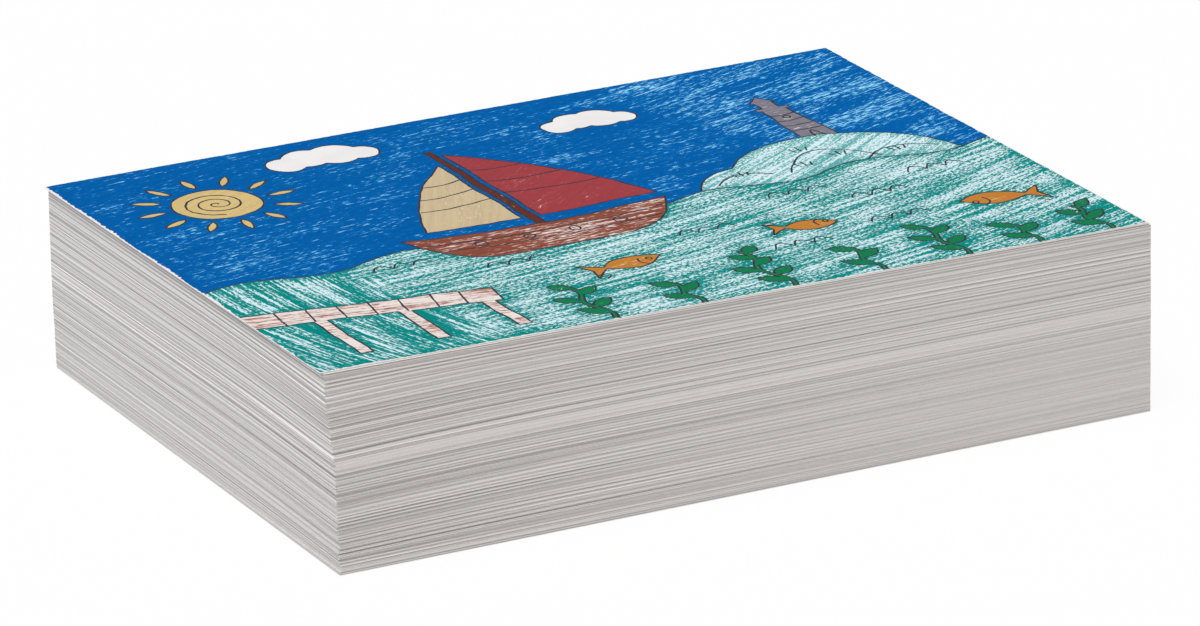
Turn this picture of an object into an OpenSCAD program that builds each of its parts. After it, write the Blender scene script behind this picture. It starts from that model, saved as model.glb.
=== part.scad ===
// A pack of 500 sheets of drawing paper, unwrapped and stacked loose on a table.
// The top sheet carries a crayon drawing of a sailing boat off an island.
// Under it lie nine single blank sheets and thirty-five lifts. A lift is a small pile
// of sheets that was picked up and knocked square together, so it keeps its own place.
// The origin is at the middle of the underside, +X runs along the long edge, +Z is up,
// and the drawing is the right way up when it is seen from -Y.

/* [Sheet] */
// Long side of one sheet
sheet_length = 297; // [270:1:330]
// Short side of one sheet
sheet_width = 210; // [195:1:250]
// Thickness of one sheet
sheet_thickness = 0.134; // [0.1:0.002:0.25]

/* [Pack] */
// Number of lifts, from the underside up
lift_count = 35; // [5:1:35]
// Number of single blank sheets between the top lift and the drawn sheet
loose_count = 9; // [2:1:9]

/* [Lean] */
// How far the base stands to the right of the top
lean_right = 2; // [0:0.1:8]
// How far the base stands behind the top
lean_back = 0.1; // [0:0.1:8]
// Turn of the base against the top, in degrees
twist = 0.85; // [0:0.05:2]
// Share of the height, counted from the top, over which the pack turns
twist_share = 0.6; // [0.2:0.05:1]

/* [Jog] */
// Most that a lift lies off the pack's line, each way
lift_jog = 0.18; // [0:0.02:1]
// Most that a lift is turned off the pack's line, each way, in degrees
lift_turn = 0.05; // [0:0.01:0.3]
// Most that a sheet by itself within a lift is slipped off it, each way
slip = 0.3; // [0:0.02:1]
// Most that a sheet by itself within a lift is turned off it, each way, in degrees
slip_turn = 0.08; // [0:0.01:0.3]
// Most that a single sheet near the top lies off the pack's line, each way
loose_jog = 0.5; // [0:0.05:1.5]
// Most that a single sheet near the top is turned off the pack's line, each way, in degrees
loose_turn = 0.14; // [0:0.02:0.5]
// How far the drawn sheet overhangs the lifts at the left edge, with the blank sheets fanned out below it
drawn_overhang = 1.2; // [0:0.1:3]

/* [Drawing] */
// Thickness of the layer of crayon wax
wax = 0.03; // [0.02:0.01:0.06]
// Strip of bare paper left round the drawing
margin = 1.2; // [0.5:0.1:6]
// Height of the sea's edge above the near edge, at the left
sea_level = 84; // [60:1:110]
// How much further from the near edge the sea reaches at the right
sea_rise = 14; // [0:1:25]
// Length of one wave on the sea's edge
wave_length = 58; // [30:1:90]
// Height of the waves on the sea's edge, from the middle
wave_height = 3.5; // [1:0.5:8]
// Radius of the sun
sun_r = 15; // [8:0.5:20]
// Distance of the sun's middle from the far edge
sun_inset = 46; // [30:1:60]
// Radius of a cloud's middle puff
cloud_r = 9; // [4:0.5:12]
// Half the width of the island
island_half = 44; // [30:1:80]
// Height of the island
island_height = 34; // [20:1:60]
// Height of the lighthouse tower
tower_height = 30; // [20:1:45]
// Width of the lighthouse tower at its foot
tower_width = 14; // [8:0.5:22]
// Length of the boat's hull
hull_length = 96; // [70:1:130]
// Depth of the boat's hull
hull_depth = 23; // [15:1:32]
// Height of the boat's mast above the deck
mast_height = 84; // [60:1:100]
// Thickness of the boat's mast
mast_width = 3.4; // [2:0.2:6]
// Foot length of the red sail
red_sail_foot = 44; // [30:1:60]
// Foot length of the tan sail
tan_sail_foot = 34; // [20:1:45]
// Length of the landing stage
jetty_length = 82; // [50:1:110]
// Thickness of the landing stage's deck
jetty_deck = 12; // [6:0.5:18]
// Height of the feet of the landing stage's posts above the near edge
post_foot = 10; // [4:1:14]
// Length of the longest fish
fish_length = 31; // [18:1:40]
// Height of the tallest stalk of seaweed
weed_height = 38; // [25:1:60]
// Length of the longest seaweed leaf
leaf_length = 12; // [6:0.5:18]

/* [Hidden] */
// Sheets in each bunch of a lift, from its underside up
bunch_sheets = [5, 1, 4, 1, 3];
bunches = len(bunch_sheets);
lift_height = sum(bunch_sheets, bunches) * sheet_thickness;
loose_base = lift_count * lift_height;
drawn_base = loose_base + loose_count * sheet_thickness;
pack_height = drawn_base + sheet_thickness;

left_edge = -sheet_length / 2;
right_edge = sheet_length / 2;
near_edge = -sheet_width / 2;
far_edge = sheet_width / 2;

// Room between the sun and its rays, between a sail and the mast, and between a sail and the deck
ray_gap = 3;
luff_gap = 1.5;
foot_gap = 7;
// Height of the deck above the middle of the waves, which never wash over it
deck_above_sea = wave_height + 0.5;
// How far the island and the tower reach down behind what stands in front of them
hidden_foot = 8;
post_width = 4.5;
// Places along the sheet, as shares of its length from the left edge
sun_place = 0.14;
boat_place = 0.42;
island_place = 0.81;
// Each cloud's place along the sheet, then its height and its puff, in middle puffs from the far edge
CLOUDS = [[0.31, 2.3, 1], [0.63, 3.4, 0.85]];
// Each fish's place along the sheet, share of the sea's depth there, turn and share of fish_length
FISH = [[0.435, 0.5, 8, 0.95], [0.665, 0.54, -6, 0.8], [0.905, 0.46, 172, 1]];
// Each stalk's place along the sheet and share of weed_height
WEEDS = [[0.345, 0.9], [0.45, 0.55], [0.56, 1], [0.67, 0.62], [0.775, 0.84], [0.865, 0.5], [0.955, 0.68]];

paper_white = [0.93, 0.92, 0.90];
paper_edge = [0.74, 0.72, 0.70];

// What the crayon fields show, from the back of the picture to the front
FIELDS = ["sky", "sun", "lighthouse", "island", "sea", "mast", "tan_sail", "red_sail", "hull",
          "jetty", "fish", "seaweed"];
FIELD_COLOURS = [[0.05, 0.42, 0.70], [0.86, 0.77, 0.58], [0.60, 0.60, 0.66], [0.62, 0.80, 0.78],
                 [0.20, 0.62, 0.58], [0.42, 0.26, 0.22], [0.86, 0.79, 0.67], [0.68, 0.33, 0.34],
                 [0.62, 0.44, 0.38], [0.80, 0.68, 0.64], [0.88, 0.66, 0.36], [0.13, 0.50, 0.36]];

function two_digits(i) = i < 10 ? str("0", i) : str(i);
function lift_name(i) = str("lift_", two_digits(i));
function loose_name(i) = str("loose_sheet_", i);
function field_name(k) = str("crayon_", FIELDS[k]);

// Sum of the first n numbers of a list
function sum(list, n) = n == 0 ? 0 : list[n - 1] + sum(list, n - 1);

// A fixed scatter from -1 to 1 for piece i, with a different pattern for each salt
function fraction(x) = x - floor(x);
function scatter(i, salt) = 2 * fraction(sin(i * 47.13 + salt * 19.87) * 937.61) - 1;

// The pack's own lean and turn at a height: nothing is straight in a loose pile
function down(z) = 1 - z / pack_height;
function eased(t) = t * t * (3 - 2 * t);
function lean_at(z) = [lean_right, lean_back] * (down(z) - 0.5);
function turn_at(z) = twist * eased(min(1, down(z) / twist_share));

// Points of a curve from p to r that is drawn towards q
function bend(p, q, r, steps) =
    [for (k = [0 : steps]) let (t = k / steps) (1 - t) * (1 - t) * p + 2 * t * (1 - t) * q + t * t * r];

// Outline of a leaf or a fish's body: pointed at both ends, along +X from the origin
function leaf(length, breadth, steps) = concat(
    bend([0, 0], [length / 2, breadth], [length, 0], steps),
    bend([length, 0], [length / 2, -breadth], [0, 0], steps)
);

// A place along the sheet, from its share of the length
function along(share) = left_edge + share * sheet_length;

// The sea's edge at a share of the sheet's length: it rises to the right, with waves on it
function sea_line(share) = near_edge + sea_level + sea_rise * share;
function sea_edge(share) = sea_line(share) + wave_height * sin(360 * share * sheet_length / wave_length);

// The foot of the mast, on the deck
mast_foot = [along(boat_place), sea_line(boat_place) + deck_above_sea];

// A pile of sheets with square edges, turned about its own middle
module pile(place, turn, z, height) {
    translate([place.x, place.y, z])
        rotate(turn)
            translate([left_edge, near_edge, 0])
                cube([sheet_length, sheet_width, height]);
}

// One lift: bunches of a few sheets, of which the thinnest slip the furthest
module lift(i) {
    base = (i - 1) * lift_height;
    place = lean_at(base) + lift_jog * [scatter(i, 1), scatter(i, 2)];
    turn = turn_at(base) + lift_turn * scatter(i, 3);
    color(paper_edge)
        union()
            for (k = [0 : bunches - 1]) {
                n = bunch_sheets[k];
                id = i * bunches + k;
                pile(place + slip / n * [scatter(id, 4), scatter(id, 5)],
                     turn + slip_turn / n * scatter(id, 9),
                     base + sum(bunch_sheets, k) * sheet_thickness,
                     n * sheet_thickness);
            }
}

// One single blank sheet, counted from the drawn sheet down
module loose_sheet(i) {
    base = drawn_base - i * sheet_thickness;
    overhang = drawn_overhang * (1 - i / (loose_count + 1));
    color(paper_white)
        pile(lean_at(base) - [overhang, 0] + loose_jog * [scatter(i, 6), scatter(i, 7)],
             turn_at(base) + loose_turn * scatter(i, 8),
             base,
             sheet_thickness);
}

// The drawn sheet's place, which the crayon on it shares
module at_drawn_sheet(z) {
    translate([lean_at(drawn_base).x - drawn_overhang, lean_at(drawn_base).y, z])
        children();
}

module drawn_sheet() {
    color(paper_white)
        at_drawn_sheet(drawn_base)
            translate([left_edge, near_edge, 0])
                cube([sheet_length, sheet_width, sheet_thickness]);
}

// The part of the page that the crayon covers
module page() {
    square([sheet_length - 2 * margin, sheet_width - 2 * margin], center = true);
}

// A bank of cloud, left as bare paper: each puff's x and y and its radius, in middle puffs
module cloud(r) {
    for (puff = [[-1.5, 0, 0.8], [-0.5, 0.35, 1], [0.6, 0.25, 1.1], [1.6, -0.05, 0.7]])
        translate(r * [puff.x, puff.y])
            circle(r = r * puff.z, $fn = 40);
}

module sky() {
    difference() {
        square([sheet_length, sheet_width], center = true);
        for (c = CLOUDS)
            translate([along(c[0]), far_edge - c[1] * cloud_r])
                cloud(cloud_r * c[2]);
    }
}

module sun() {
    rays = 12;
    ray_length = sun_r * 0.7;
    translate([along(sun_place), far_edge - sun_inset]) {
        circle(r = sun_r, $fn = 60);
        for (k = [0 : rays - 1])
            rotate(k * 360 / rays)
                translate([sun_r + ray_gap, 0])
                    polygon(leaf(ray_length, ray_length * 0.3, 4));
    }
}

// One hump of land, flat underneath where the sea hides it
module hump(x, half, height) {
    translate([x, sea_line(island_place) - hidden_foot])
        polygon([for (a = [0 : 10 : 180]) [half * cos(a), (height + hidden_foot) * sin(a)]]);
}

module island() {
    hump(along(island_place), island_half, island_height);
    hump(along(island_place) - island_half * 0.75, island_half * 0.55, island_height * 0.5);
}

// The tower narrows by a third and carries a gallery, a lamp room and a pointed cap
module lighthouse() {
    top_width = tower_width * 2 / 3;
    gallery = tower_width * 0.18;
    lamp_room = tower_width * 0.42;
    top = tower_height + hidden_foot;
    translate([along(island_place) + island_half / 6, sea_line(island_place) + island_height - hidden_foot]) {
        polygon([[-tower_width / 2, 0], [tower_width / 2, 0], [top_width / 2, top], [-top_width / 2, top]]);
        translate([-tower_width * 0.45, top])
            square([tower_width * 0.9, gallery]);
        translate([-top_width * 0.35, top + gallery])
            square([top_width * 0.7, lamp_room]);
        translate([0, top + gallery + lamp_room])
            polygon([[-top_width / 2, 0], [top_width / 2, 0], [0, top_width * 0.7]]);
    }
}

module sea() {
    steps = 60;
    polygon(concat(
        [[right_edge, near_edge], [left_edge, near_edge]],
        [for (k = [0 : steps]) [along(k / steps), sea_edge(k / steps)]]
    ));
}

module mast() {
    translate(mast_foot)
        polygon([[-mast_width / 2, 0], [mast_width / 2, 0], [mast_width / 3, mast_height],
                 [-mast_width / 3, mast_height]]);
}

// A sail whose long edge is bellied by the wind: side is 1 to the right of the mast, -1 to the left
module sail(side, foot, height) {
    luff = mast_width / 2 + luff_gap;
    translate(mast_foot)
        polygon(concat(
            [[side * luff, foot_gap]],
            bend([side * luff, foot_gap + height],
                 [side * (luff + foot * 0.75), foot_gap + height * 0.55],
                 [side * (luff + foot), foot_gap + foot * 0.06], 10)
        ));
}

module red_sail() {
    sail(1, red_sail_foot, mast_height * 0.86);
}

module tan_sail() {
    sail(-1, tan_sail_foot, mast_height * 0.74);
}

// The hull stands at the mast's foot and sinks into the sea, and its bow and stern rise a little
module hull() {
    half = hull_length / 2;
    sheer = hull_depth * 0.22;
    translate(mast_foot)
        polygon(concat(
            bend([-half, sheer], [0, -sheer], [half, sheer], 10),
            bend([half, sheer], [half * 0.8, -hull_depth], [half * 0.3, -hull_depth], 6),
            bend([-half * 0.45, -hull_depth], [-half * 0.85, -hull_depth], [-half, sheer], 6)
        ));
}

// A deck on upright posts, coming in from the left edge and falling to the right
module jetty() {
    posts = 3;
    fall = 9;
    height = sea_level * 0.62;
    translate([left_edge, near_edge + height])
        rotate(-fall)
            translate([-jetty_deck, -jetty_deck / 2])
                square([jetty_length + jetty_deck, jetty_deck]);
    for (k = [1 : posts]) {
        out = k * jetty_length / posts - 2 * post_width;
        translate([left_edge + out, near_edge + post_foot])
            square([post_width, height - out * tan(fall) - post_foot]);
    }
}

// One fish, its nose at the right and its middle at the origin
module one_fish(size) {
    nose = [size / 2, 0];
    belly = [size * 0.1, size * 0.34];
    root = [-size * 0.26, size * 0.03];
    fin = [-size / 2, size * 0.22];
    function under(p) = [p.x, -p.y];
    polygon(concat(
        bend(nose, belly, root, 8),
        [fin, [-size * 0.42, 0], under(fin)],
        bend(under(root), under(belly), nose, 8)
    ));
}

module fish() {
    for (f = FISH)
        translate([along(f[0]), near_edge + f[1] * (sea_line(f[0]) - near_edge)])
            rotate(f[2])
                one_fish(fish_length * f[3]);
}

// One stalk of seaweed, its foot at the origin, with a leaf to each side in turn up to the tip
module weed(height) {
    steps = 12;
    sway = height * 0.05;
    thickness = leaf_length * 0.14;
    leaves = max(2, floor(height / (leaf_length * 0.5)));
    function middle(share) = sway * sin(540 * share);
    polygon(concat(
        [for (k = [0 : steps]) [middle(k / steps) - thickness / 2, height * k / steps]],
        [for (k = [steps : -1 : 0]) [middle(k / steps) + thickness / 2, height * k / steps]]
    ));
    for (k = [1 : leaves]) {
        share = k / (leaves + 0.4);
        side = k % 2 == 0 ? 38 : 142;
        translate([middle(share), height * share])
            rotate(side)
                polygon(leaf(leaf_length * (1 - 0.06 * k), leaf_length * 0.42, 5));
    }
}

module seaweed() {
    for (w = WEEDS)
        translate([along(w[0]), near_edge])
            weed(weed_height * w[1]);
}

module shape(name) {
    if (name == "sky") sky();
    if (name == "sun") sun();
    if (name == "lighthouse") lighthouse();
    if (name == "island") island();
    if (name == "sea") sea();
    if (name == "mast") mast();
    if (name == "tan_sail") tan_sail();
    if (name == "red_sail") red_sail();
    if (name == "hull") hull();
    if (name == "jetty") jetty();
    if (name == "fish") fish();
    if (name == "seaweed") seaweed();
}

// A field of crayon: its shape less everything drawn in front of it, within the page
module crayon(k) {
    color(FIELD_COLOURS[k])
        at_drawn_sheet(pack_height)
            linear_extrude(height = wax)
                intersection() {
                    page();
                    difference() {
                        shape(FIELDS[k]);
                        if (k < len(FIELDS) - 1)
                            for (front = [k + 1 : len(FIELDS) - 1])
                                shape(FIELDS[front]);
                    }
                }
}

for (i = [1 : lift_count])
    lift(i);
for (i = [1 : loose_count])
    loose_sheet(i);
drawn_sheet();
for (k = [0 : len(FIELDS) - 1])
    crayon(k);
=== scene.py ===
"""The looks of a pack of drawing paper: 500 loose sheets, with a crayon drawing on the top one.

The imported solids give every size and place: the sheets are cut from the lifts, and the wax and the pen
lines follow the outlines of the crayon fields. Lengths are in metres, and MM turns millimetres into them.
"""
import math
import random

import bpy
from mathutils import Matrix, Vector, geometry, kdtree, noise


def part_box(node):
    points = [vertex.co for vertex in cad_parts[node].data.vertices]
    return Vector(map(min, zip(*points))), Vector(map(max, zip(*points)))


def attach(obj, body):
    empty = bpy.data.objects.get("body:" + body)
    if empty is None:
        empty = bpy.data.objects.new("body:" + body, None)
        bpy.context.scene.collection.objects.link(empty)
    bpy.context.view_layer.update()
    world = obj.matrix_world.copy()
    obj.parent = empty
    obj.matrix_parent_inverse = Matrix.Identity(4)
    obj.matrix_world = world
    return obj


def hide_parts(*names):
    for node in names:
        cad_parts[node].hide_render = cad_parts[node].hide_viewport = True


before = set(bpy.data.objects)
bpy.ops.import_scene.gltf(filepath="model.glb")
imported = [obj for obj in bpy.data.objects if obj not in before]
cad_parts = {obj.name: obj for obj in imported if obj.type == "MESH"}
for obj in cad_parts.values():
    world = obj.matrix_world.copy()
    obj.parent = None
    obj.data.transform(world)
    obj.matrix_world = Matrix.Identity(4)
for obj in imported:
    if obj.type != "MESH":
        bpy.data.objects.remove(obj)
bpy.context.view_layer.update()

MM = 0.001
SHEET_LOW, SHEET_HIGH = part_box("drawn_sheet")
PAGE_LOW = Vector((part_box("crayon_sea")[0].x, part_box("crayon_sea")[0].y))
PAGE_HIGH = Vector((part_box("crayon_sky")[1].x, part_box("crayon_sky")[1].y))
SHEET = SHEET_HIGH.z - SHEET_LOW.z

# The drawing wobbles in the same way each run
noise.seed_set(5)

# Crayon fields from the front of the picture to the back
FIELDS = ["seaweed", "fish", "jetty", "hull", "red_sail", "tan_sail", "mast", "sea", "island", "lighthouse",
          "sun", "sky"]


# The pile

# The pile has sunk a little towards its back left corner
SUNK = 3.8 * MM
# Near the front left corner the sheets sag, and so the ones close to the top and the base lie further apart
SAG = 2 * MM
SAG_REACH = 90 * MM
# The sag fades out over these shares of the height at the base and the top, and is weaker by the base
SAG_BASE = 0.2
SAG_TOP = 0.12
SAG_LEAST = 0.6
# A sheet fills most of its share of the height, and the rest is air
SHEET_FILL = 0.96
# Cells along and across a sheet, for the sheets inside the pile and for the drawn one
PILE_CELLS = (10, 7)
TOP_CELLS = (44, 31)
# Cells grow away from the front left corner by this power
CELL_GROWTH = 1.5
# Most that a bunch lies in at its front left corner, and most that a sheet lies in at any corner
BUNCH_JOG = 0.6 * MM
SHEET_JOG = 0.12 * MM
# Share of the solids' own jog that a bunch keeps at its front left corner
KEPT_JOG = 0.5
# Lifts over whose corners the jogs are evened out at the other corners, which were knocked up square
EVEN_LIFTS = 7


def settled(x, y, z):
    """The height of a point of the pile, once the pile has sunk and sagged."""
    left = max(0, (SHEET_HIGH.x - x) / (SHEET_HIGH.x - SHEET_LOW.x))
    back = max(0, (y - SHEET_LOW.y) / (SHEET_HIGH.y - SHEET_LOW.y))
    up = z / SHEET_HIGH.z
    near = max(0, 1 - math.hypot(x - SHEET_LOW.x, y - SHEET_LOW.y) / SAG_REACH)
    fading = max(0, min(1, up / SAG_BASE, (1 - up) / SAG_TOP))
    sag = SAG * near ** 2 * fading * (SAG_LEAST + (1 - SAG_LEAST) * up)
    return (z - sag) * (1 - SUNK / SHEET_HIGH.z * left * back)


def bunches(node):
    """Each bunch of sheets in a node, as its underside, its top and its corners, read from its sides."""
    mesh = node.data
    sides = {}
    for face in mesh.polygons:
        if abs(face.normal.z) < 0.1:
            points = [mesh.vertices[i].co for i in face.vertices]
            foot = round(min(p.z for p in points) / SHEET)
            sides.setdefault(foot, []).extend(points)
    found = []
    for foot, points in sorted(sides.items()):
        top = round(max(p.z for p in points) / SHEET)
        corners = [max(points, key=lambda p: p.x * right + p.y * back).xy
                   for right, back in ((-1, -1), (1, -1), (1, 1), (-1, 1))]
        found.append((foot, top, corners))
    return found


class Slabs:
    """A mesh in the making: thin closed slabs, each a grid between four corners, with marks as its UV."""

    def __init__(self):
        self.points = []
        self.faces = []
        self.marks = []

    def add(self, corners, foot, top, cells, marks):
        """One slab. Its marks are the UV values of its underside and of its upper side."""
        across, deep = cells
        base = len(self.points)
        for z, mark in ((foot, marks[0]), (top, marks[1])):
            for j in range(deep + 1):
                left = corners[0].lerp(corners[3], (j / deep) ** CELL_GROWTH)
                right = corners[1].lerp(corners[2], (j / deep) ** CELL_GROWTH)
                for i in range(across + 1):
                    p = left.lerp(right, (i / across) ** CELL_GROWTH)
                    self.points.append((p.x, p.y, settled(p.x, p.y, z)))
                    self.marks.append(mark)
        row = across + 1
        level = row * (deep + 1)
        for j in range(deep):
            for i in range(across):
                a = base + j * row + i
                quad = (a, a + 1, a + row + 1, a + row)
                self.faces.append(quad[::-1])
                self.faces.append(tuple(k + level for k in quad))
        rim = ([base + i for i in range(across)]
               + [base + across + j * row for j in range(deep)]
               + [base + deep * row + across - i for i in range(across)]
               + [base + (deep - j) * row for j in range(deep)])
        for a, b in zip(rim, rim[1:] + rim[:1]):
            self.faces.append((a, b, b + level, a + level))

    def piece(self, name, material):
        mesh = bpy.data.meshes.new(name)
        mesh.from_pydata(self.points, [], self.faces)
        uv = mesh.uv_layers.new(name="pile")
        for loop in mesh.loops:
            uv.data[loop.index].uv = self.marks[loop.vertex_index]
        return shown(name, mesh, material)


def shown(name, mesh, material):
    """A piece made of a mesh, in the scene and riding on the pack."""
    mesh.materials.append(material)
    piece = bpy.data.objects.new(name, mesh)
    bpy.context.scene.collection.objects.link(piece)
    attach(piece, "root")
    return piece


def average(points):
    return sum(points, Vector((0, 0))) / len(points)


def even_corners():
    """The corners of each lift, with the jogs evened out over the lifts below and above it."""
    names = sorted(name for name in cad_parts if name.startswith("lift"))
    means = []
    for name in names:
        found = bunches(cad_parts[name])
        means.append([average([corners[k] for foot, top, corners in found]) for k in range(4)])
    half = EVEN_LIFTS // 2
    even = {}
    for i, name in enumerate(names):
        reach = min(half, i, len(names) - 1 - i)
        near = means[i - reach:i + reach + 1]
        even[name] = [average([corners[k] for corners in near]) for k in range(4)]
    return even


def sheets(name, cells, material, even=None, sheet_jog=SHEET_JOG):
    """The sheets of one node as separate slabs, each a little behind the edges of its bunch."""
    chance = random.Random(name)
    inward = (Vector((1, 1)), Vector((-1, 1)), Vector((-1, -1)), Vector((1, -1)))
    slabs = Slabs()
    for foot, top, corners in bunches(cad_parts[name]):
        if even:
            jog = Vector((chance.random() ** 2, chance.random() ** 2)) * BUNCH_JOG
            corners = [even[0].lerp(corners[0], KEPT_JOG) + jog] + even[1:]
        tone = chance.random()
        for leaf in range(foot, top):
            jogged = []
            for corner, way in zip(corners, inward):
                jog = Vector((chance.random() ** 2, chance.random() ** 2)) * sheet_jog
                jogged.append(corner + way * jog)
            marks = ((tone, leaf), (tone, leaf + 1))
            slabs.add(jogged, leaf * SHEET, (leaf + SHEET_FILL) * SHEET, cells, marks)
    piece = slabs.piece(name + "_sheets", material)
    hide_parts(name)


# The drawing

# Length of one step along an outline, and of the net of points inside it
STEP = 0.8 * MM
NET = 3 * MM
# The wax and the pen lines lie on the drawn sheet between these heights
WAX = (0.003 * MM, 0.02 * MM)
INK = (0.02 * MM, 0.028 * MM)
INK_WIDTH = 0.8 * MM
# The paper rim that the wax leaves
BARE = PAGE_LOW.x - SHEET_LOW.x
# How far from an outline a child presses harder
HARD = 5 * MM
# A hand's slow wobble, its quick one and the pen's own: how long each is, and how far it reaches
SLOW_WOBBLE = (14 * MM, 0.8 * MM)
QUICK_WOBBLE = (2.5 * MM, 0.15 * MM)
PEN_WOBBLE = (6 * MM, 0.35 * MM)
# How long the small teeth of the drawing's border are, and its slow way in and out
TEETH = 1.4 * MM
DRIFT = 16 * MM
# How far the border keeps from the sheet's edge on the left, in front and elsewhere: 1 is raggedest
SHY_LEFT = 1
SHY_FRONT = 0.9
SHY_ELSEWHERE = 0.45


def flat_noise(p, size, salt):
    """A smooth value from about -1 to 1 that changes over a size."""
    return noise.noise(Vector((p.x / size, p.y / size, salt)))


def wobble(p, size, reach, salt=0):
    """A smooth shift of a point, up to about a reach, that changes over a size."""
    shift = noise.noise_vector(Vector((p.x / size, p.y / size, salt)))
    return Vector((shift.x, shift.y)) * reach


def on_border(p):
    """The outward direction at a point on the page's border, or nothing elsewhere."""
    near = 0.02 * MM
    out = Vector((0, 0))
    if p.x < PAGE_LOW.x + near:
        out.x = -1
    if p.x > PAGE_HIGH.x - near:
        out.x = 1
    if p.y < PAGE_LOW.y + near:
        out.y = -1
    if p.y > PAGE_HIGH.y - near:
        out.y = 1
    return out


def by_hand(p):
    """Where a child's hand takes a point of the drawing: outlines wobble, and the border is ragged."""
    out = on_border(p)
    moved = p + wobble(p, *SLOW_WOBBLE) + wobble(p, *QUICK_WOBBLE, salt=3)
    if out.length == 0:
        return moved
    if out.x < 0 and out.y == 0:
        shy = SHY_LEFT
    elif out.y < 0:
        shy = SHY_FRONT
    else:
        shy = SHY_ELSEWHERE
    short = shy * (0.25 - 0.7 * flat_noise(p, TEETH, 7) - 0.5 * flat_noise(p, DRIFT, 9))
    reach = BARE * max(-0.3, min(0.97, 0.95 - short))
    return Vector((p.x + out.x * reach, p.y + out.y * reach))


def outlines(node):
    """The closed outlines of a flat node: loops of points along the free edges of its upper side."""
    mesh = node.data
    pairs = set()
    for face in mesh.polygons:
        if face.normal.z > 0.5:
            points = [mesh.vertices[i].co.xy for i in face.vertices]
            points = [(round(p.x / MM, 4), round(p.y / MM, 4)) for p in points]
            pairs.update(zip(points, points[1:] + points[:1]))
    onward = {}
    for a, b in pairs:
        if (b, a) not in pairs:
            onward.setdefault(a, []).append(b)
    loops = []
    while onward:
        start = min(onward)
        loop = [start]
        while loop[-1] in onward:
            here = loop[-1]
            ahead = onward[here].pop()
            if not onward[here]:
                del onward[here]
            loop.append(ahead)
        loops.append([Vector(p) * MM for p in loop[:-1]])
    return loops


def stepped(loop):
    """A loop with points at most one step apart."""
    points = []
    for a, b in zip(loop, loop[1:] + loop[:1]):
        count = max(1, math.ceil((b - a).length / STEP))
        points += [a.lerp(b, k / count) for k in range(count)]
    return points


def tree(points):
    """A search tree of flat points."""
    found = kdtree.KDTree(len(points))
    for k, p in enumerate(points):
        found.insert((p.x, p.y, 0), k)
    found.balance()
    return found


def distance(found, p):
    return found.find((p.x, p.y, 0))[2]


def wax_mesh(name, loops):
    """A thin closed layer within hand-drawn outlines, with each point's distance from the outline."""
    drawn = [[by_hand(p) for p in stepped(loop)] for loop in loops]
    edge = [p for loop in drawn for p in loop]
    near = tree(edge)
    low = Vector((min(p.x for p in edge), min(p.y for p in edge)))
    high = Vector((max(p.x for p in edge), max(p.y for p in edge)))
    net = []
    for j in range(int((high.y - low.y) / NET) + 1):
        for i in range(int((high.x - low.x) / NET) + 1):
            p = low + Vector((i + 0.5 * (j % 2), j + 0.5)) * NET
            if distance(near, p) > STEP:
                net.append(p)
    ties = []
    for loop in drawn:
        first = len(ties)
        ties += [(first + k, first + (k + 1) % len(loop)) for k in range(len(loop))]
    tolerance = 1e-5
    flat = geometry.delaunay_2d_cdt([p / MM for p in edge + net], ties, [], 0, tolerance)
    faces = inside(flat, edge + net, ties)
    return layer(name, [p * MM for p in flat[0]], faces, WAX, near)


def inside(flat, given, ties):
    """The triangles that lie inside the outlines, which run with the inside on their left."""
    points, edges, faces = flat[:3]
    left_of = {}
    for k, face in enumerate(faces):
        for a, b in zip(face, face[1:] + face[:1]):
            left_of[a, b] = k
    walls = set()
    kept = set()
    for (a, b), origin in zip(edges, flat[4]):
        if not origin:
            continue
        walls.update([(a, b), (b, a)])
        start, end = ties[origin[0]]
        along = (points[b] - points[a]).dot(given[end] - given[start])
        kept.add(left_of.get((a, b) if along > 0 else (b, a)))
    kept.discard(None)
    ahead = list(kept)
    while ahead:
        face = faces[ahead.pop()]
        for a, b in zip(face, face[1:] + face[:1]):
            beyond = left_of.get((b, a))
            if (a, b) not in walls and beyond is not None and beyond not in kept:
                kept.add(beyond)
                ahead.append(beyond)
    return [faces[k] for k in kept]


def layer(name, points, faces, heights, near):
    """A flat mesh of triangles as a closed layer on the drawn sheet."""
    count = len(points)
    solid = [(p.x, p.y, settled(p.x, p.y, SHEET_HIGH.z) + z) for z in heights for p in points]
    walls = {}
    for face in faces:
        for a, b in zip(face, face[1:] + face[:1]):
            walls[a, b] = walls.get((a, b), 0) + 1
    sides = [(a, b, b + count, a + count) for a, b in walls if (b, a) not in walls]
    under = [tuple(reversed(face)) for face in faces]
    over = [tuple(k + count for k in face) for face in faces]
    mesh = bpy.data.meshes.new(name)
    mesh.from_pydata(solid, [], under + over + sides)
    press = mesh.attributes.new("press", "FLOAT", "POINT")
    for k, p in enumerate(points):
        value = max(0, 1 - distance(near, p) / HARD)
        press.data[k].value = value
        press.data[k + count].value = value
    return mesh


# The pen lines

def circle(middle, radius):
    """A closed round line."""
    turns = [k * math.tau / 20 for k in range(20)]
    return [middle + Vector((math.cos(a), math.sin(a))) * radius for a in turns + turns[:1]]


def curve(start, pull, end, steps=16):
    """A line from start to end that is drawn towards a point."""
    shares = [k / steps for k in range(steps + 1)]
    return [start * (1 - t) ** 2 + pull * (2 * t * (1 - t)) + end * t * t for t in shares]


def span(field):
    """The low and the high corner of a field, seen from above."""
    low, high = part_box("crayon_" + field)
    return low.xy, high.xy


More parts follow.
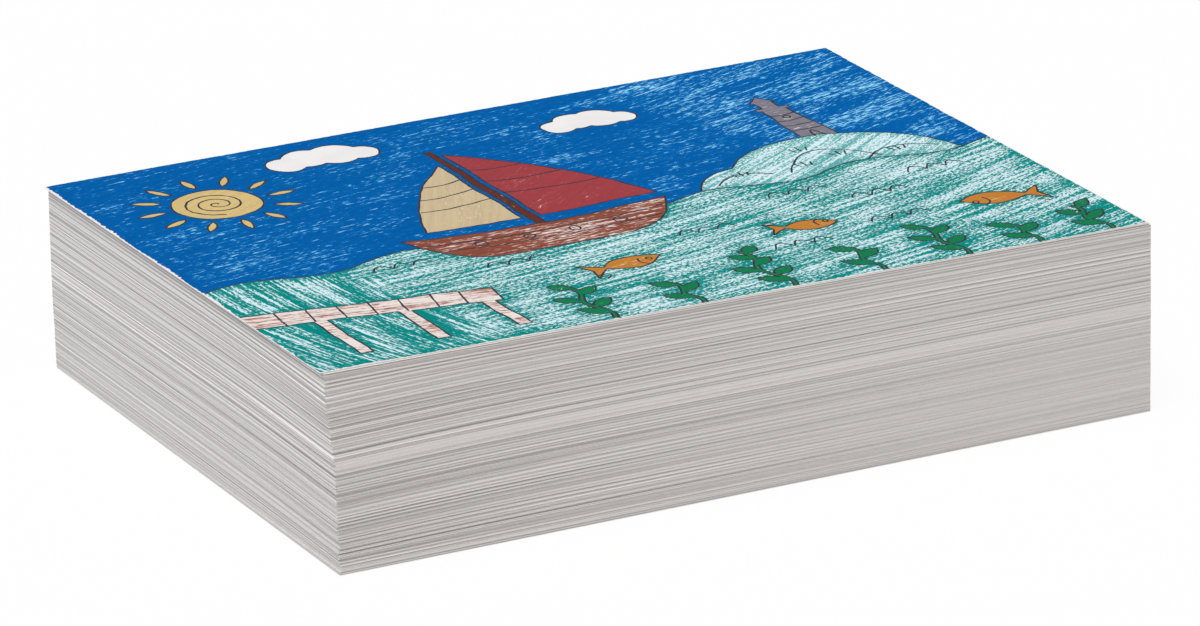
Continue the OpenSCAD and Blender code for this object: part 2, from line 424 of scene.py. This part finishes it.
def outline_lines():
    """The outlines of all fields as open lines, each drawn once and none along the page's border."""
    lines = []
    drawn = []
    for field in FIELDS:
        near = tree(drawn) if drawn else None
        for loop in outlines(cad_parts["crayon_" + field]):
            points = stepped(loop)
            line = []
            for a, b in zip(points, points[1:] + points[:1]):
                middle = (a + b) / 2
                if on_border(middle).length or (near and distance(near, middle) < 0.6 * STEP):
                    lines.append(line)
                    line = []
                elif line:
                    line.append(b)
                else:
                    line = [a, b]
            lines.append(line)
            drawn += points
    return [line for line in lines if len(line) > 2]


# The deck's rise at both ends, as a share of the hull's height
SHEER = 0.18


def hull_lines():
    """Two planks that follow the deck's rise, and a row of portholes."""
    low, high = span("hull")
    middle, half = (low.x + high.x) / 2, (high.x - low.x) / 2
    sheer = SHEER * (high.y - low.y)
    depth = high.y - low.y - sheer

    def along(share, drop):
        """A point at a share of the half length, and a share of the depth below the deck."""
        return Vector((middle + share * half, low.y + depth + sheer * share ** 2 - drop * depth))

    planks = []
    for reach, drop in ((0.9, 0.3), (0.8, 0.6)):
        planks.append([along(-reach + 2 * reach * k / 24, drop) for k in range(25)])
    ports = [circle(along(share, 0.45), 0.09 * depth) for share in (-0.55, -0.2, 0.15, 0.5)]
    return planks + ports


# Where a sail's bellied edge is drawn towards, in shares of its foot and of its height
BELLY_OUT = 0.75
BELLY_UP = 0.55


def sail_lines():
    """Three seams across each sail, from the mast to the bellied edge."""
    lines = []
    for field, mast_left in (("red_sail", True), ("tan_sail", False)):
        low, high = span(field)
        foot, height = high.x - low.x, high.y - low.y
        start, side = (low.x, 1) if mast_left else (high.x, -1)
        for t in (0.32, 0.5, 0.68):
            reach = 2 * t * (1 - t) * BELLY_OUT + t * t
            rise = (1 - t) ** 2 + 2 * t * (1 - t) * BELLY_UP
            edge = Vector((start + side * foot * reach, low.y + height * rise))
            luff = Vector((start, edge.y + 0.03 * height))
            lines.append(curve(luff, (luff + edge) / 2 - Vector((0, 0.04 * height)), edge))
    return lines


def lighthouse_lines():
    """Bands round the tower, a door and a window."""
    low, high = span("lighthouse")
    middle, width, height = (low.x + high.x) / 2, high.x - low.x, high.y - low.y

    def half(share):
        """Half the tower's width at a share of its height."""
        return width * (0.49 - 0.23 * share)

    def at(across, share):
        """A point beside the tower's middle, at a share of its height."""
        return Vector((middle + across, low.y + height * share))

    bands = [curve(at(-half(share), share), at(0, share - 0.03), at(half(share), share))
             for share in (0.2, 0.32, 0.44, 0.56)]
    door = curve(at(-0.14 * width, 0.01), at(0, 0.28), at(0.14 * width, 0.01))
    window = circle(at(0, 0.5), 0.1 * width)
    return bands + [door, window]


def island_lines():
    """The nearer slope of each hump, and tufts of grass."""
    low, high = span("island")
    width, height = high.x - low.x, high.y - low.y
    lines = []
    for left, right, top in ((0.36, 0.72, 0.62), (0.08, 0.3, 0.36), (0.66, 0.94, 0.4)):
        a = low + Vector((left * width, 0.2 * height))
        b = low + Vector((right * width, 0.24 * height))
        pull = low + Vector(((left + right) / 2 * width, (2 * top - 0.2) * height))
        lines.append(curve(a, pull, b))
    for across, up in ((0.2, 0.32), (0.5, 0.66), (0.44, 0.3), (0.8, 0.3), (0.6, 0.42)):
        foot = low + Vector((across * width, up * height))
        for lean in (-1, 0, 1):
            start = foot + Vector((0.05 * lean * height, 0))
            lines.append([start, start + Vector((0.03 * lean, 0.12 - 0.03 * abs(lean))) * height])
    return lines


# The landing stage's slope in degrees, its deck's thickness and how many planks it has
DECK_FALL = 9
DECK = 12 * MM
PLANKS = 8


def jetty_lines():
    """The joints between the deck's planks."""
    low, high = span("jetty")
    ahead = Vector((math.cos(math.radians(DECK_FALL)), -math.sin(math.radians(DECK_FALL))))
    down = Vector((ahead.y, -ahead.x))
    start = Vector((low.x, high.y))
    length = high.x - low.x
    joints = []
    for k in range(1, PLANKS):
        top = start + ahead * (length * k / PLANKS)
        joints.append([top, top + down * DECK * 0.5, top + down * DECK])
    return joints


def fish_lines():
    """An eye, a gill and two tail lines on each fish."""
    lines = []
    for loop in outlines(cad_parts["crayon_fish"]):
        middle = average(loop)
        tip = max(loop, key=lambda p: (p - middle).length)
        far = max(loop, key=lambda p: (p - tip).length)
        nose, tail = (tip, far) if breadth(loop, tip, far) > breadth(loop, far, tip) else (far, tip)
        ahead = nose - tail
        side = Vector((-ahead.y, ahead.x))
        lines.append(circle(nose - ahead * 0.17 + side * 0.025, 0.035 * ahead.length))
        gill = nose - ahead * 0.27
        lines.append(curve(gill + side * 0.11, nose - ahead * 0.38, gill - side * 0.11))
        for share in (-0.07, 0.07):
            lines.append([tail + ahead * 0.06 + side * share, tail + ahead * 0.17 + side * share * 0.4])
    return lines


def breadth(loop, near, far):
    """How broad a loop is a third of the way from one of its ends to the other."""
    ahead = far - near
    side = Vector((-ahead.y, ahead.x)).normalized()
    third = []
    for p in loop:
        if 0.15 < (p - near).dot(ahead) / ahead.length_squared < 0.45:
            third.append((p - near).dot(side))
    return max(third) - min(third)


def sun_lines():
    """A spiral in the sun's disc."""
    low, high = span("sun")
    middle, reach = (low + high) / 2, (high.x - low.x) / 2 * 0.4
    turns = [k * math.tau / 18 for k in range(50)]
    return [[middle + Vector((math.cos(a), math.sin(a))) * reach * a / turns[-1] for a in turns]]


# Where waves start, in shares of the sea's width and height, how long a crest is and how many follow
WAVES = ((0.3, 0.62), (0.53, 0.6), (0.6, 0.33), (0.76, 0.66), (0.74, 0.42), (0.86, 0.8), (0.185, 0.76),
         (0.68, 0.79))
CREST = 7.2 * MM
CRESTS = 3


def wave_lines():
    """Small waves scattered over the open sea."""
    low, high = span("sea")
    lines = []
    for across, up in WAVES:
        place = low + Vector((across * (high.x - low.x), up * (high.y - low.y)))
        wave = []
        for k in range(CRESTS):
            start = place + Vector((k * CREST, 0))
            wave += curve(start, start + Vector((CREST / 2, CREST * 1.25)), start + Vector((CREST, 0)), 8)
        lines.append(wave)
    return lines


def ribbon(solid, faces, line):
    """One pen line as a thin closed strip, a little wider and narrower along its length."""
    base = len(solid)
    for k, p in enumerate(line):
        ahead = line[min(k + 1, len(line) - 1)] - line[max(k - 1, 0)]
        side = Vector((-ahead.y, ahead.x)).normalized()
        press = 0.85 + 0.35 * flat_noise(p, 5 * MM, 30)
        half = side * INK_WIDTH / 2 * press
        for place, z in ((p - half, INK[0]), (p + half, INK[0]), (p + half, INK[1]), (p - half, INK[1])):
            solid.append((place.x, place.y, settled(place.x, place.y, SHEET_HIGH.z) + z))
    for k in range(len(line) - 1):
        a = base + 4 * k
        for i, j in ((0, 1), (1, 2), (2, 3), (3, 0)):
            faces.append((a + i, a + j, a + 4 + j, a + 4 + i))
    end = base + 4 * (len(line) - 1)
    faces.append((base + 3, base + 2, base + 1, base))
    faces.append((end, end + 1, end + 2, end + 3))


def pen_lines(name, lines, material):
    """Pen lines on the drawing, each as wobbly as the wax beside it, in one piece."""
    solid, faces = [], []
    for line in lines:
        fine = [line[0]]
        for a, b in zip(line, line[1:]):
            count = max(1, math.ceil((b - a).length / (1.2 * STEP)))
            fine += [a.lerp(b, k / count) for k in range(1, count + 1)]
        drawn = [by_hand(p) + wobble(p, *PEN_WOBBLE, salt=21) for p in fine]
        steps = [drawn[0]]
        for p in drawn[1:]:
            if (p - steps[-1]).length > 0.2 * STEP:
                steps.append(p)
        if len(steps) > 1:
            ribbon(solid, faces, steps)
    mesh = bpy.data.meshes.new(name)
    mesh.from_pydata(solid, [], faces)
    piece = shown(name, mesh, material)


# Materials

def colour(red, green, blue):
    """A colour of the screen, with parts of 255, as Blender's linear one."""
    def linear(part):
        part /= 255
        return part / 12.92 if part <= 0.04045 else ((part + 0.055) / 1.055) ** 2.4
    return (linear(red), linear(green), linear(blue), 1)


class Graph:
    """Short calls for the nodes of one material."""

    def __init__(self, name):
        self.material = bpy.data.materials.new(name)
        self.material.use_nodes = True
        self.tree = self.material.node_tree
        self.shader = self.tree.nodes["Principled BSDF"]

    def put(self, socket, value):
        if isinstance(value, bpy.types.NodeSocket):
            self.tree.links.new(value, socket)
        else:
            socket.default_value = value

    def node(self, kind, inputs=(), **settings):
        made = self.tree.nodes.new("ShaderNode" + kind)
        for key, value in settings.items():
            setattr(made, key, value)
        for key, value in dict(inputs).items():
            self.put(made.inputs[key], value)
        return made

    def math(self, operation, *values):
        return self.node("Math", enumerate(values), operation=operation).outputs[0]

    def times(self, a, b):
        return self.math("MULTIPLY", a, b)

    def less(self, a, b):
        return self.math("SUBTRACT", a, b)

    def apart(self, a, b):
        """How far two values lie apart."""
        return self.math("ABSOLUTE", self.less(a, b))

    def sum(self, *values):
        total = values[0]
        for value in values[1:]:
            total = self.math("ADD", total, value)
        return total

    def place(self):
        return self.node("TexCoord").outputs["Object"]

    def parts(self, vector):
        """A vector's parts, x first."""
        return self.node("SeparateXYZ", {"Vector": vector}).outputs[:]

    def vector(self, x, y, z):
        return self.node("CombineXYZ", {"X": x, "Y": y, "Z": z}).outputs[0]

    def noise(self, vector, scale=1, detail=2, roughness=0.5):
        inputs = {"Vector": vector, "Scale": scale, "Detail": detail, "Roughness": roughness}
        return self.node("TexNoise", inputs).outputs["Fac"]

    def swing(self, value, reach):
        """A noise value as a swing round zero, up to about a reach."""
        return self.node("MapRange", {"Value": value, 1: 0.3, 2: 0.7, 3: -reach, 4: reach}).outputs[0]

    def between(self, value, low, high, start=0, end=1):
        """A soft step from start to end, as a value goes from low to high."""
        inputs = {"Value": value, 1: low, 2: high, 3: start, 4: end}
        return self.node("MapRange", inputs, interpolation_type="SMOOTHSTEP").outputs[0]

    def blend(self, share, a, b):
        """A value that goes from a to b with a share."""
        return self.node("Mix", {0: share, 2: a, 3: b}).outputs[0]

    def mix(self, share, a, b, way="MIX"):
        """A colour that goes from a to b with a share."""
        return self.node("Mix", {0: share, 6: a, 7: b}, data_type="RGBA", blend_type=way).outputs[2]

    def shade(self, tone, amount):
        """A colour times an amount."""
        return self.mix(1, tone, self.grey(amount), "MULTIPLY")

    def grey(self, amount):
        return self.node("CombineColor", {0: amount, 1: amount, 2: amount}).outputs[0]

    def bump(self, height, depth):
        made = self.node("Bump", {"Height": height, "Distance": depth, "Strength": 1})
        self.put(self.shader.inputs["Normal"], made.outputs[0])

    def finish(self, tone, roughness, gloss):
        self.put(self.shader.inputs["Base Color"], tone)
        self.shader.inputs["Roughness"].default_value = roughness
        self.shader.inputs["Specular IOR Level"].default_value = gloss
        return self.material


PAPER = colour(243, 242, 241)
PAPER_GREY = colour(222, 219, 218)
# The cut edges on the short sides are tinted a little cooler: painted cool light, as if falling on them from
# the left
EDGE = colour(219, 215, 212)
EDGE_PAINTED_COOL_LIGHT = colour(216, 213, 214)
# The leaf at the middle of the pile's light band, and the band's half height in leaves. The band is partly a
# lift's own cleaner cut and partly painted light on a lift that juts out a little
BAND_LEAF = 275
BAND_LEAVES = 14.5
# The half height of the dark band right below it, painted shade under the jutting lift
UNDER_LEAVES = 7
# The drawn sheet's own leaf, whose neighbours have the lightest edges
TOP_LEAF = round(SHEET_HIGH.z / SHEET)
# How much each thing lightens or darkens the cut edges, as a share of their tone. The bright and dark lines
# are painted highlights and shadows, the light band is partly painted light and the dark band is painted
# shade
FINE = 0.22
PAINTED_HIGHLIGHT_LINE = 0.32
PAINTED_SHADOW_LINE = 0.2
BROAD = 0.01
LIGHT_BAND = 0.14
SHADED_BAND = -0.05
LIGHT_TOP = 0.25
BUNCH = 0.02
FIBRE = 0.07


def paper(name):
    """White uncoated drawing paper: faint cloudy tone, fibres and tooth."""
    g = Graph(name)
    place = g.place()
    cloudy = g.noise(place, 90, 3)
    fibre = g.noise(place, 2600, 3, 0.7)
    tone = g.mix(g.between(cloudy, 0.3, 0.7, 0, 0.3), PAPER, PAPER_GREY)
    tone = g.shade(tone, g.sum(1, g.swing(fibre, 0.02)))
    g.bump(fibre, 0.02 * MM)
    return g.finish(tone, roughness=0.85, gloss=0.2)


def edge_noise(g, at, across, along, seed, shift=0):
    """Noise at x, y and a leaf. It changes over 1 / across leaves and 1 / along metres of a sheet's edge."""
    x, y, leaf = at
    height = g.math("MULTIPLY_ADD", g.sum(leaf, shift), across, seed)
    return g.noise(g.vector(g.times(x, along), g.times(y, along), height), 1, 0, 0.6)


def thin_lines(g, at, shift=0):
    """A thin line wherever a slow noise passes its middle."""
    off = g.apart(edge_noise(g, at, 0.08, 1.2, 120, shift), 0.5)
    return g.between(off, 0.07, 0.02)


def sharp_lines(g, at):
    """Fine lines from sheet to sheet, and here and there a thin bright one with a dark one beside it: a
    painted highlight on a sheet that juts out, and its painted shadow just below.
    """
    step = g.less(edge_noise(g, at, 0.3, 2, 0), edge_noise(g, at, 0.3, 2, 0, 4))
    fine = g.between(step, -0.2, 0.2, -FINE, FINE)
    # Painted highlights on sheets that jut out, and their painted shadows a few leaves lower
    highlight = g.times(thin_lines(g, at), PAINTED_HIGHLIGHT_LINE)
    shaded = g.times(thin_lines(g, at, 2.6), PAINTED_SHADOW_LINE)
    fading = g.between(edge_noise(g, at, 0.05, 6, 160), 0.4, 0.6, 0.25, 1)
    return g.sum(fine, g.times(fading, g.less(highlight, shaded)))


def contrast(g, at, short_side):
    """How strong the sharp lines are: weaker low down, to the right and by the front left corner."""
    x, y, leaf = at
    long_low = g.between(x, -0.06, 0.08, 0.85, 0.35)
    short_low = g.between(y, -0.06, 0.04, 0.45, 0.9)
    low = g.blend(short_side, long_low, short_low)
    short_high = g.between(y, -0.06, 0.06, 1.6, 1.2)
    high = g.blend(short_side, 0.85, short_high)
    return g.blend(g.between(leaf, BAND_LEAF - 80, BAND_LEAF), low, high)


def strip(g, leaf, middle, half):
    """One on the leaves around a middle one, and nothing elsewhere."""
    return g.between(g.apart(leaf, middle), half + 1.5, half - 1.5)


def paper_edges(name):
    """Cut edges of a pile of paper: crisp light and dark lines, on bands that change over many sheets. Much
    of it is painted light and shade: highlights and shadows of sheets that jut out, a band that is partly
    painted light, a band of painted shade, and on the short sides a cool tint and a fall of light from front
    to back.
    """
    g = Graph(name)
    x, y = g.parts(g.place())[:2]
    tone, leaf = g.parts(g.node("UVMap", uv_map="pile").outputs[0])[:2]
    at = (x, y, leaf)
    facing = g.parts(g.node("NewGeometry").outputs["True Normal"])
    short_side = g.between(g.math("ABSOLUTE", facing[0]), 0.4, 0.6)
    long_side = g.less(1, short_side)
    # The light band is partly a lift's cleaner cut and partly painted light; the band below it is painted
    # shade
    light = g.times(strip(g, leaf, BAND_LEAF, BAND_LEAVES), long_side)
    shaded = g.times(strip(g, leaf, BAND_LEAF - BAND_LEAVES - UNDER_LEAVES, UNDER_LEAVES), long_side)
    plain = g.math("MULTIPLY_ADD", light, -0.8, 1)
    sharp = g.times(g.times(contrast(g, at, short_side), plain), sharp_lines(g, at))
    broad = g.swing(edge_noise(g, at, 0.02, 3, 80), BROAD)
    band = g.sum(g.times(light, LIGHT_BAND), g.times(shaded, SHADED_BAND))
    # Painted light along the short sides: a little lighter near the front corner, darker towards the back
    near = g.times(short_side, g.between(y, -0.1, 0.1, 0.045, -0.03))
    light_top = g.between(leaf, TOP_LEAF - 4.5, TOP_LEAF - 3, 0, LIGHT_TOP)
    bunch = g.math("MULTIPLY_ADD", tone, 2 * BUNCH, -BUNCH)
    fibre = g.swing(g.noise(g.place(), 2600, 2, 0.7), FIBRE)
    amount = g.sum(1, broad, sharp, band, near, light_top, bunch, fibre)
    # The short sides take the painted cool light
    return g.finish(g.shade(g.mix(short_side, EDGE, EDGE_PAINTED_COOL_LIGHT), amount), roughness=0.9, gloss=0.15)


# Whites that show through the wax: pale blue through blue, icy through teal and warm through the others
PALE_BLUE = colour(160, 226, 255)
COOL = colour(229, 249, 255)
WARM = colour(244, 236, 232)


class Stroke:
    """How a child fills a field.

    The strokes have an angle in degrees and a bow. Streaks along them, wide patches, the paper's grain and
    pressing hard near outlines change how much they cover. Tooth says how short the specks of the grain are.
    """

    def __init__(self, angle, cover, streaks=0.5, patches=0.3, bow=0, hard=0.2, grain=0.5, tooth=280):
        self.angle = angle
        self.cover = cover
        self.streaks = streaks
        self.patches = patches
        self.bow = bow
        self.hard = hard
        self.grain = grain
        self.tooth = tooth


def coverage(g, stroke, seed):
    """How much wax the strokes leave at each place, around zero, and the streaks by themselves."""
    turned = g.node("VectorRotate", {"Vector": g.place(), "Angle": -math.radians(stroke.angle)},
                    rotation_type="Z_AXIS").outputs[0]
    s, t = g.parts(turned)[:2]
    t = g.sum(t, g.times(g.times(s, s), stroke.bow))

    def texture(along, across, detail, salt):
        """Noise in the strokes' own direction."""
        vector = g.vector(g.times(s, along), g.times(t, across), seed + salt)
        return g.noise(vector, 1, detail, 0.6)

    streak = texture(28, 600, 2, 0)
    patch = texture(22, 80, 2, 11)
    grain = texture(stroke.tooth, 1500, 3, 23)
    press = g.node("Attribute", attribute_name="press").outputs["Fac"]
    level = g.sum(stroke.cover, g.swing(streak, stroke.streaks / 2), g.swing(patch, stroke.patches / 2),
                  g.swing(grain, stroke.grain), g.times(press, stroke.hard))
    return level, streak


# The border between two strokes: how far it leans, wanders and takes to pass from one to the other
BORDER_LEAN = 0.25
BORDER_WANDER = 12 * MM
BORDER_SOFT = 9 * MM


def right_of(g, border):
    """Nothing on the left of a leaning, uneven border and one on its right."""
    x, y = g.parts(g.place())[:2]
    wander = g.swing(g.noise(g.place(), 60), BORDER_WANDER)
    across = g.sum(x, g.times(y, BORDER_LEAN), wander)
    return g.between(across, border - BORDER_SOFT, border + BORDER_SOFT)


def crayon(name, wax, deep, ground, stroke, seed, other=None, border=0):
    """Wax crayon: streaks with specks of bare paper. A field may have another stroke left of a border."""
    g = Graph(name)
    level, streak = coverage(g, stroke, seed)
    if other:
        level = g.blend(right_of(g, border), coverage(g, other, seed + 50)[0], level)
    covered = g.between(level, -0.08, 0.1)
    thick = g.between(level, 0, 0.4)
    tone = g.shade(g.mix(thick, wax, deep), g.sum(1, g.swing(streak, 0.08)))
    tinted = g.mix(0.14, ground, wax)
    g.bump(covered, 0.03 * MM)
    return g.finish(g.mix(covered, tinted, tone), roughness=0.75, gloss=0.01)


def ink():
    """Dark felt pen, a little uneven."""
    g = Graph("pen_ink")
    uneven = g.noise(g.place(), 700, 3, 0.6)
    tone = g.mix(g.between(uneven, 0.35, 0.7), colour(26, 30, 44), colour(58, 52, 62))
    return g.finish(tone, roughness=0.7, gloss=0.1)


CRAYONS = {
    "sky": crayon("blue_wax", colour(30, 138, 208), colour(0, 94, 168), PALE_BLUE,
                  Stroke(20, 0.3, streaks=0.7, patches=0.5, bow=0.1, grain=0.6), 1,
                  other=Stroke(8, 0.5, patches=0.4, bow=0.1, grain=0.6), border=PAGE_HIGH.x - 70 * MM),
    "sea": crayon("teal_wax", colour(84, 172, 176), colour(0, 137, 131), COOL,
                  Stroke(13, 0.08, streaks=1.2, patches=0.5, bow=-0.6, hard=0.35, grain=0.9, tooth=650), 2,
                  other=Stroke(84, 0.16, streaks=1.4, patches=0.5, bow=2, hard=0.35, grain=0.6, tooth=500),
                  border=PAGE_LOW.x + 40 * MM),
    "sun": crayon("cream_wax", colour(228, 206, 160), colour(216, 190, 130), WARM,
                  Stroke(30, 0.6, streaks=0.4), 3),
    "tan_sail": crayon("tan_wax", colour(222, 206, 176), colour(206, 186, 150), WARM,
                       Stroke(62, 0.6, streaks=0.4), 4),
    "lighthouse": crayon("grey_wax", colour(164, 160, 168), colour(128, 124, 136), WARM,
                         Stroke(8, 0.35), 5),
    "island": crayon("pale_teal_wax", colour(156, 204, 206), colour(92, 170, 170), COOL,
                     Stroke(24, 0, streaks=1.1, patches=0.4, bow=-1, hard=0.4, grain=0.7, tooth=650), 6),
    "mast": crayon("dark_brown_wax", colour(126, 72, 60), colour(98, 52, 44), WARM, Stroke(90, 0.45), 7),
    "red_sail": crayon("red_wax", colour(186, 96, 98), colour(160, 66, 72), WARM,
                       Stroke(40, 0.5, grain=0.35), 8),
    "hull": crayon("brown_wax", colour(172, 112, 94), colour(134, 74, 60), WARM,
                   Stroke(3, 0.25, streaks=0.8), 9),
    "jetty": crayon("pink_brown_wax", colour(206, 172, 160), colour(158, 104, 92), WARM,
                    Stroke(-9, -0.1, streaks=0.9, patches=0.5, hard=0), 10),
    "fish": crayon("ochre_wax", colour(220, 166, 92), colour(196, 128, 56), WARM, Stroke(15, 0.45), 11),
    "seaweed": crayon("green_wax", colour(70, 160, 100), colour(22, 124, 80), WARM, Stroke(50, 0.45), 12),
}


def wax_field(field):
    """One field of wax in place of its node."""
    name = "crayon_" + field
    mesh = wax_mesh(name + "_wax", outlines(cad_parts[name]))
    piece = shown(name + "_wax", mesh, CRAYONS[field])
    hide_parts(name)


# Building

EDGES = paper_edges("pile_edges")
DRAWN = paper("drawn_sheet_paper")

SQUARE = even_corners()
for node_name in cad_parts:
    if node_name in SQUARE:
        sheets(node_name, PILE_CELLS, EDGES, SQUARE[node_name])
    elif node_name.startswith("loose"):
        sheets(node_name, PILE_CELLS, EDGES)
    elif node_name == "drawn_sheet":
        sheets(node_name, TOP_CELLS, DRAWN, sheet_jog=0)
for field_name in FIELDS:
    wax_field(field_name)
INK_PEN = ink()
pen_lines("pen_outlines", outline_lines(), INK_PEN)
pen_lines("pen_details", hull_lines() + sail_lines() + lighthouse_lines() + island_lines() + jetty_lines()
          + fish_lines() + sun_lines() + wave_lines(), INK_PEN)


# Light, floor and camera

# Share of plain white that the camera sees on the floor, and the rest is the floor with its shadow
FLOOR_GLOW = 0.94
# How strong the dome lights the pack
DOME = 0.42


def floor():
    """A white ground that keeps a faint shadow of the pack."""
    side = 6
    corners = [(-side, -side, 0), (side, -side, 0), (side, side, 0), (-side, side, 0)]
    mesh = bpy.data.meshes.new("floor")
    mesh.from_pydata(corners, [], [(0, 1, 2, 3)])
    g = Graph("floor_white")
    g.finish((0.95, 0.95, 0.95, 1), roughness=1, gloss=0)
    path = g.node("LightPath").outputs
    seen = g.math("MAXIMUM", path["Is Camera Ray"], path["Is Glossy Ray"])
    glow = g.node("Emission", {"Color": (1, 1, 1, 1), "Strength": 1}).outputs[0]
    surface = g.node("MixShader", {0: g.times(seen, FLOOR_GLOW), 1: g.shader.outputs[0], 2: glow})
    g.put(g.tree.nodes["Material Output"].inputs["Surface"], surface.outputs[0])
    mesh.materials.append(g.material)
    ground = bpy.data.objects.new("floor", mesh)
    ground.location.z = -0.2 * MM
    bpy.context.scene.collection.objects.link(ground)


def sky_light():
    """An even white dome. It is plain white where the camera or a reflection sees it."""
    world = bpy.data.worlds.new("studio")
    bpy.context.scene.world = world
    world.use_nodes = True
    tree = world.node_tree
    back = tree.nodes["Background"]
    back.inputs["Color"].default_value = (1, 1, 1, 1)
    path = tree.nodes.new("ShaderNodeLightPath")
    seen = tree.nodes.new("ShaderNodeMath")
    seen.operation = "MAXIMUM"
    tree.links.new(path.outputs["Is Camera Ray"], seen.inputs[0])
    tree.links.new(path.outputs["Is Glossy Ray"], seen.inputs[1])
    strength = tree.nodes.new("ShaderNodeMapRange")
    strength.inputs["To Min"].default_value = DOME
    strength.inputs["To Max"].default_value = 1
    tree.links.new(seen.outputs[0], strength.inputs["Value"])
    tree.links.new(strength.outputs[0], back.inputs["Strength"])


def lamp(name, azimuth, elevation, strength, softness):
    """A soft lamp far away, seen from the pack at an azimuth and an elevation in degrees."""
    light = bpy.data.lights.new(name, "SUN")
    light.energy = strength
    light.angle = math.radians(softness)
    turn, rise = math.radians(azimuth), math.radians(elevation)
    back = Vector((math.sin(turn) * math.cos(rise), -math.cos(turn) * math.cos(rise), math.sin(rise)))
    lit = bpy.data.objects.new(name, light)
    lit.rotation_euler = back.to_track_quat("Z", "Y").to_euler()
    bpy.context.scene.collection.objects.link(lit)


def camera():
    """The photograph's view, fitted to the pack's corners on its 1200 by 626 pixels."""
    azimuth, elevation = math.radians(-27.919), math.radians(19.965)
    away, right, up = 2.209, 0.00125, -0.00617
    focal_pixels, picture_width = 6721, 1200
    ahead = Vector((-math.sin(azimuth) * math.cos(elevation), math.cos(azimuth) * math.cos(elevation),
                    -math.sin(elevation)))
    side = ahead.cross(Vector((0, 0, 1))).normalized()
    top = side.cross(ahead)
    middle = Vector((0, 0, SHEET_HIGH.z / 2))
    data = bpy.data.cameras.new("camera")
    data.sensor_width = 36
    data.lens = data.sensor_width * focal_pixels / picture_width
    data.clip_start, data.clip_end = 0.1, 100
    made = bpy.data.objects.new("camera", data)
    stand = middle - ahead * away + side * right + top * up
    turn = Matrix((side, top, -ahead)).transposed().to_4x4()
    made.matrix_world = Matrix.Translation(stand) @ turn
    bpy.context.scene.collection.objects.link(made)
    bpy.context.scene.camera = made


floor()
sky_light()
lamp("key", -63, 66, 1.9, 40)
camera()
bpy.context.scene.view_settings.view_transform = "Standard"
